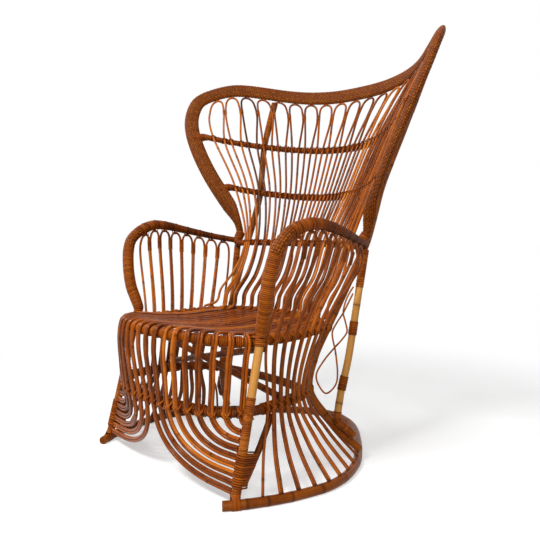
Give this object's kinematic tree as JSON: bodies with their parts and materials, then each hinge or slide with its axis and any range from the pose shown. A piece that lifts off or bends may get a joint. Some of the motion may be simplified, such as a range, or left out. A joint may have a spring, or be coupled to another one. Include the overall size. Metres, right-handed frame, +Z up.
{
  "type": "rattan wing armchair",
  "caption": "High-winged rattan armchair: hairpin canes form its back, seat and skirt between a wide bent rim, two rings, arms and a floor hoop.",
  "frame": {"origin": "on the floor, under the middle of the chair's bounding box", "axes": "+Z up, the sitter faces -Y, +X is on the sitter's left hand, and the chair is a mirror image about X = 0"},
  "size_m": [1.09, 0.8812, 1.1947],
  "materials": {
    "wrapped_pole": "rattan pole wound with flat cane, satin lacquer",
    "bare_pole": "peeled rattan pole, satin lacquer",
    "dark_pole": "stained rattan pole, satin lacquer",
    "cane": "round rattan cane, satin lacquer"
  },
  "bodies": {
    "root": {"base_hoop": "wrapped_pole", "seat_ring": "bare_pole", "waist_ring": "dark_pole", "front_leg_right": "bare_pole", "front_leg_left": "bare_pole", "arm_rail_right": "wrapped_pole", "arm_rail_left": "wrapped_pole", "back_rim": "wrapped_pole", "upper_cross_rail": "wrapped_pole", "middle_cross_rail": "wrapped_pole", "arm_level_cross_rail": "wrapped_pole", "rear_post_right": "bare_pole", "rear_post_left": "bare_pole", "rear_leg_right": "bare_pole", "rear_leg_left": "bare_pole", "foot_brace_right": "dark_pole", "foot_brace_left": "dark_pole", "front_stretcher": "bare_pole", "back_stretcher": "bare_pole", "back_hairpin_middle": "cane", "back_hairpin_1_right": "cane", "back_hairpin_1_left": "cane", "back_hairpin_2_right": "cane", "back_hairpin_2_left": "cane", "back_hairpin_3_right": "cane", "back_hairpin_3_left": "cane", "back_hairpin_4_right": "cane", "back_hairpin_4_left": "cane", "back_hairpin_5_right": "cane", "back_hairpin_5_left": "cane", "back_hairpin_6_right": "cane", "back_hairpin_6_left": "cane", "back_hairpin_7_right": "cane", "back_hairpin_7_left": "cane", "back_hairpin_8_right": "cane", "back_hairpin_8_left": "cane", "back_hairpin_9_right": "cane", "back_hairpin_9_left": "cane", "side_hairpin_1_right": "cane", "side_hairpin_1_left": "cane", "side_hairpin_2_right": "cane", "side_hairpin_2_left": "cane", "side_hairpin_3_right": "cane", "side_hairpin_3_left": "cane", "side_hairpin_4_right": "cane", "side_hairpin_4_left": "cane", "side_hairpin_5_right": "cane", "side_hairpin_5_left": "cane", "side_hairpin_6_right": "cane", "side_hairpin_6_left": "cane", "side_hairpin_7_right": "cane", "side_hairpin_7_left": "cane", "side_hairpin_8_right": "cane", "side_hairpin_8_left": "cane", "side_scroll_right": "cane", "side_scroll_left": "cane"}
  },
  "joints": []
}
